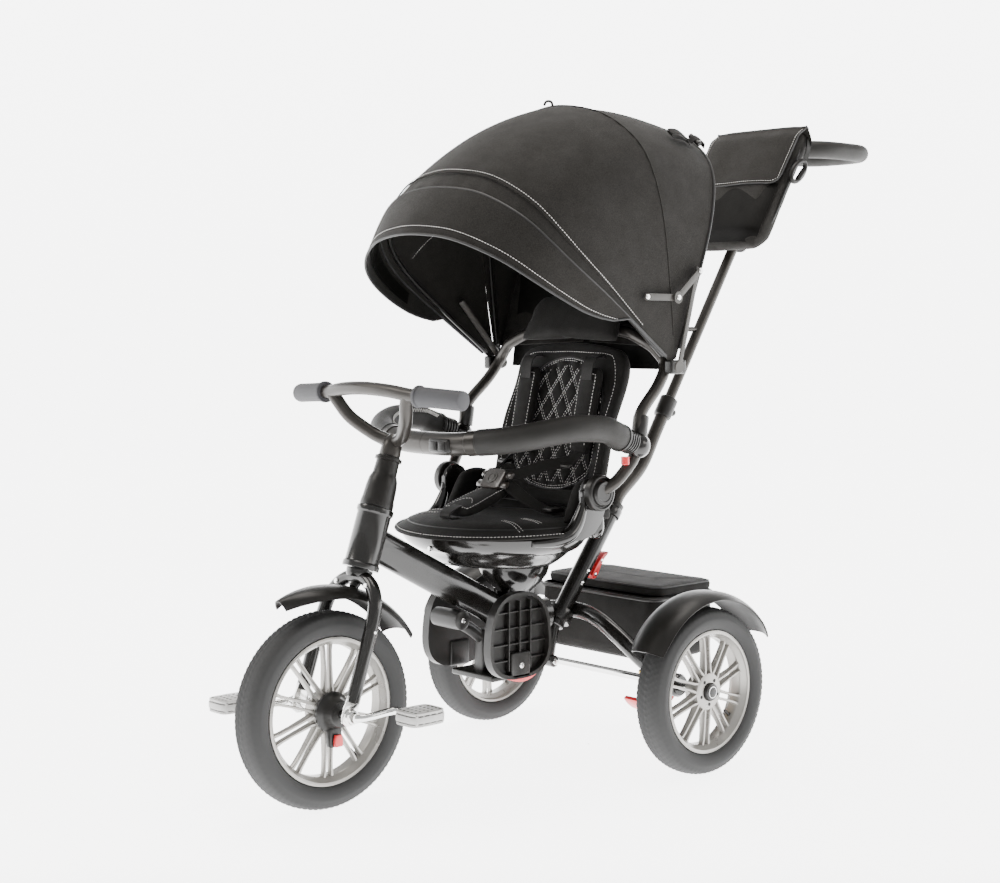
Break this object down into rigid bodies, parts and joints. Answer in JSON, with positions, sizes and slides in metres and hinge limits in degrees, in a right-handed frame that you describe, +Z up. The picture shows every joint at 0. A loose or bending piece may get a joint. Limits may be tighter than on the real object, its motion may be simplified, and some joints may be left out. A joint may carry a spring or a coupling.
{
  "type": "children's tricycle",
  "caption": "Children's tricycle with a canopy, a swivelling padded seat, a padded guard rail, folding footrests, a rear basket and a telescopic steering push bar with a bag.",
  "frame": {"origin": "floor level under the middle of the rear axle, which is also the middle of the bounding box", "axes": "-Y is forward (front wheel), +X is the rider's left, +Z is up"},
  "size_m": [0.546, 1.3479, 1.0183],
  "materials": {
    "gloss_black": "gloss",
    "seat_shell": "gloss",
    "satin_black": "satin",
    "black_plastic": "satin",
    "gunmetal": "satin metallic",
    "steel": "polished",
    "silver_alloy": "satin silver",
    "tyre_rubber": "matte with a fine block tread",
    "grip_rubber": "matte",
    "foam": "matte, fine grain",
    "fabric": "fine plain weave, white contrast stitching",
    "pale_grey_plastic": "satin",
    "dark_grey_plastic": "satin",
    "red_plastic": "satin"
  },
  "bodies": {
    "frame": {"head_tube": "gloss_black", "main_tube": "gloss_black", "swivel_housing": "black_plastic", "rear_frame": "gloss_black", "fender_rear_left": "satin_black", "fender_rear_right": "satin_black", "basket": "fabric", "footrest_bracket": "black_plastic"},
    "fork": {"fork": "gloss_black", "fender_front": "satin_black", "boot": "satin_black", "handlebar": "gunmetal", "grip_left": "grip_rubber", "grip_right": "grip_rubber"},
    "front_wheel": {"tyre_front": "tyre_rubber", "rim_front": "silver_alloy", "clutch_housing": "black_plastic"},
    "clutch_tab": {"clutch_tab": "red_plastic"},
    "crank": {"crank": "steel"},
    "seat": {"seat_pan": "seat_shell", "seat_cushion": "fabric", "crotch_pad": "fabric"},
    "swivel_pin": {"swivel_pin": "steel"},
    "backrest": {"backrest_frame": "gunmetal", "backrest_pad": "fabric", "shoulder_pad_left": "fabric", "shoulder_pad_right": "fabric", "canopy_back": "fabric"},
    "canopy_ridge": {"canopy_rear": "fabric"},
    "canopy_front": {"canopy_front": "fabric"},
    "canopy_visor": {"canopy_visor": "fabric"},
    "push_lower": {"push_bar_lower": "gunmetal"},
    "push_upper": {"push_bar_upper": "gunmetal", "handle": "foam", "bag": "fabric"},
    "collar_button": {"collar_button": "black_plastic"},
    "release_lever": {"release_lever": "red_plastic"},
    "basket_lid": {"basket_lid": "fabric"},
    "pedal_left": {"pedal_left": "pale_grey_plastic"},
    "rear_wheel_left": {"tyre_rear_left": "tyre_rubber", "rim_rear_left": "silver_alloy"},
    "guard_left": {"guard_foam_left": "foam", "guard_tube_left": "gunmetal"},
    "guard_button_left": {"guard_button_left": "red_plastic"},
    "link_rear_left": {"link_rear_left": "dark_grey_plastic"},
    "link_front_left": {"link_front_left": "dark_grey_plastic"},
    "footrest_left": {"footrest_left": "black_plastic"},
    "brake_left": {"brake_left": "red_plastic"},
    "pedal_right": {"pedal_right": "pale_grey_plastic"},
    "rear_wheel_right": {"tyre_rear_right": "tyre_rubber", "rim_rear_right": "silver_alloy"},
    "guard_right": {"guard_foam_right": "foam", "guard_tube_right": "gunmetal"},
    "guard_button_right": {"guard_button_right": "red_plastic"},
    "link_rear_right": {"link_rear_right": "dark_grey_plastic"},
    "link_front_right": {"link_front_right": "dark_grey_plastic"},
    "footrest_right": {"footrest_right": "black_plastic"},
    "brake_right": {"brake_right": "red_plastic"}
  },
  "joints": [
    {"name": "steer", "type": "hinge", "parent": "frame", "child": "fork", "pos_m": [0, -0.534, 0.1404], "axis": [0, 0.3256, 0.9455], "range_deg": [-30, 30]},
    {"name": "front_wheel_spin", "type": "hinge", "parent": "fork", "child": "front_wheel", "pos_m": [0, -0.534, 0.1404], "axis": [1, 0, 0], "continuous": true},
    {"name": "crank_spin", "type": "hinge", "parent": "fork", "child": "crank", "pos_m": [0, -0.534, 0.1404], "axis": [1, 0, 0], "continuous": true},
    {"name": "clutch_tab_slide", "type": "slide", "parent": "front_wheel", "child": "clutch_tab", "axis": [1, 0, 0], "range_m": [0, 0.003]},
    {"name": "pedal_left_spin", "type": "hinge", "parent": "crank", "child": "pedal_left", "pos_m": [0.142, -0.476, 0.1464], "axis": [1, 0, 0], "continuous": true},
    {"name": "rear_wheel_left_spin", "type": "hinge", "parent": "frame", "child": "rear_wheel_left", "pos_m": [0.238, 0, 0.127], "axis": [1, 0, 0], "continuous": true},
    {"name": "pedal_right_spin", "type": "hinge", "parent": "crank", "child": "pedal_right", "pos_m": [-0.142, -0.592, 0.1344], "axis": [1, 0, 0], "continuous": true},
    {"name": "rear_wheel_right_spin", "type": "hinge", "parent": "frame", "child": "rear_wheel_right", "pos_m": [-0.238, 0, 0.127], "axis": [1, 0, 0], "continuous": true},
    {"name": "seat_swivel", "type": "hinge", "parent": "frame", "child": "seat", "pos_m": [0, -0.1665, 0.318], "axis": [0, 0, 1], "range_deg": [-180, 180]},
    {"name": "swivel_pin_pull", "type": "slide", "parent": "seat", "child": "swivel_pin", "axis": [0, -1, 0], "range_m": [0, 0.002], "stiffness_N_per_m": 200},
    {"name": "backrest_recline", "type": "hinge", "parent": "seat", "child": "backrest", "pos_m": [0, -0.1525, 0.433], "axis": [1, 0, 0], "range_deg": [0, 12]},
    {"name": "canopy_front_fold", "type": "hinge", "parent": "backrest", "child": "canopy_front", "pos_m": [0, -0.0225, 0.617], "axis": [1, 0, 0], "range_deg": [-45, 0]},
    {"name": "canopy_ridge_fold", "type": "hinge", "parent": "backrest", "child": "canopy_ridge", "pos_m": [0, -0.0225, 0.617], "axis": [1, 0, 0], "range_deg": [-18.9, 0]},
    {"name": "visor_flip", "type": "hinge", "parent": "canopy_front", "child": "canopy_visor", "pos_m": [0, -0.0225, 0.617], "axis": [1, 0, 0], "range_deg": [-14, 0]},
    {"name": "guard_left_swing", "type": "hinge", "parent": "backrest", "child": "guard_left", "pos_m": [0.197, -0.1005, 0.502], "axis": [0, 0, 1], "range_deg": [0, 75]},
    {"name": "guard_button_left_press", "type": "slide", "parent": "guard_left", "child": "guard_button_left", "axis": [0, 0, 1], "range_m": [0, 0.003], "stiffness_N_per_m": 300},
    {"name": "link_rear_left_fold", "type": "hinge", "parent": "backrest", "child": "link_rear_left", "pos_m": [0.2128, 0.01733, 0.76161], "axis": [1, 0, 0], "range_deg": [0, 80.86]},
    {"name": "link_front_left_fold", "type": "hinge", "parent": "link_rear_left", "child": "link_front_left", "pos_m": [0.2128, -0.03333, 0.72089], "axis": [1, 0, 0], "range_deg": [-117.65, 0]},
    {"name": "guard_right_swing", "type": "hinge", "parent": "backrest", "child": "guard_right", "pos_m": [-0.197, -0.1005, 0.502], "axis": [0, 0, 1], "range_deg": [-75, 0]},
    {"name": "guard_button_right_press", "type": "slide", "parent": "guard_right", "child": "guard_button_right", "axis": [0, 0, 1], "range_m": [0, 0.003], "stiffness_N_per_m": 300},
    {"name": "link_rear_right_fold", "type": "hinge", "parent": "backrest", "child": "link_rear_right", "pos_m": [-0.2128, 0.01733, 0.76161], "axis": [1, 0, 0], "range_deg": [0, 80.86]},
    {"name": "link_front_right_fold", "type": "hinge", "parent": "link_rear_right", "child": "link_front_right", "pos_m": [-0.2128, -0.03333, 0.72089], "axis": [1, 0, 0], "range_deg": [-117.65, 0]},
    {"name": "push_bar_turn", "type": "hinge", "parent": "frame", "child": "push_lower", "pos_m": [0, -0.079, 0.204], "axis": [0, 0.6, 0.8], "range_deg": [-15, 15]},
    {"name": "push_bar_slide", "type": "slide", "parent": "push_lower", "child": "push_upper", "axis": [0, 0.5364, 0.844], "range_m": [-0.06, 0.03]},
    {"name": "collar_button_press", "type": "slide", "parent": "push_lower", "child": "collar_button", "axis": [0, -0.844, 0.5364], "range_m": [0, 0.0025], "stiffness_N_per_m": 300},
    {"name": "release_lever_swing", "type": "hinge", "parent": "frame", "child": "release_lever", "pos_m": [0, 0.00802, 0.28336], "axis": [1, 0, 0], "range_deg": [-60, 0]},
    {"name": "basket_lid_hinge", "type": "hinge", "parent": "frame", "child": "basket_lid", "pos_m": [0, 0.164, 0.252], "axis": [1, 0, 0], "range_deg": [-100, 0]},
    {"name": "footrest_left_fold", "type": "hinge", "parent": "frame", "child": "footrest_left", "pos_m": [0.056, -0.224, 0.156], "axis": [0, 1, 0], "range_deg": [0, 90]},
    {"name": "brake_left_press", "type": "hinge", "parent": "frame", "child": "brake_left", "pos_m": [0.15, -0.0165, 0.141], "axis": [1, 0, 0], "range_deg": [0, 15]},
    {"name": "footrest_right_fold", "type": "hinge", "parent": "frame", "child": "footrest_right", "pos_m": [-0.056, -0.224, 0.156], "axis": [0, 1, 0], "range_deg": [-90, 0]},
    {"name": "brake_right_press", "type": "hinge", "parent": "frame", "child": "brake_right", "pos_m": [-0.15, -0.0165, 0.141], "axis": [1, 0, 0], "range_deg": [0, 15]}
  ],
  "couplings": [
    {"joint": "canopy_ridge_fold", "follows": "canopy_front_fold", "ratio": 0.42},
    {"joint": "push_bar_turn", "follows": "steer", "ratio": 0.5},
    {"joint": "link_rear_left_fold", "follows": "canopy_front_fold", "ratio": -1.7957},
    {"joint": "link_front_left_fold", "follows": "canopy_front_fold", "ratio": 2.6134},
    {"joint": "link_rear_right_fold", "follows": "canopy_front_fold", "ratio": -1.7957},
    {"joint": "link_front_right_fold", "follows": "canopy_front_fold", "ratio": 2.6134}
  ]
}
